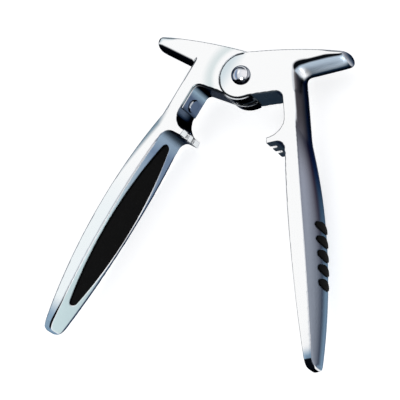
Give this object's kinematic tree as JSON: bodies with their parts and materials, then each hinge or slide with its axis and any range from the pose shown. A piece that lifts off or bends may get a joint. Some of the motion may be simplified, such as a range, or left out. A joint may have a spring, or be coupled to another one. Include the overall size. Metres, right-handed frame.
{
  "type": "champagne opener",
  "caption": "Champagne opener: cast spring-open pliers with toothed cork lips, T-shaped heads, a leaf spring at the knuckle and rubber grips in swelling handles.",
  "frame": {"origin": "on the pivot axis, at the flat of the rear rivet head", "axes": "+Z along the pivot axis toward the polished front, +Y from the handle tips toward the heads, +X toward the right arm"},
  "size_m": [0.1468, 0.1551, 0.0268],
  "materials": {
    "casting": "polished front, satin sides",
    "rivet": "polished",
    "spring": "dark polished",
    "grip": "matte"
  },
  "bodies": {
    "right_lever": {"right_arm": "casting", "pivot_rivet": "rivet", "right_grip_pad": "grip", "right_nub_1": "grip", "right_nub_2": "grip", "right_nub_3": "grip", "right_nub_4": "grip", "right_nub_5": "grip"},
    "left_lever": {"left_arm": "casting", "leaf_spring": "spring", "spring_rivet": "spring", "left_grip_pad": "grip", "left_nub_1": "grip", "left_nub_2": "grip", "left_nub_3": "grip", "left_nub_4": "grip", "left_nub_5": "grip"}
  },
  "joints": [
    {"name": "pivot", "type": "hinge", "parent": "right_lever", "child": "left_lever", "pos_m": [0, 0, 0.01], "axis": [0, 0, 1], "range_deg": [0, 50], "stiffness_Nm_per_rad": 0.6, "springref_deg": -14.32, "deforming": ["leaf_spring"]}
  ]
}
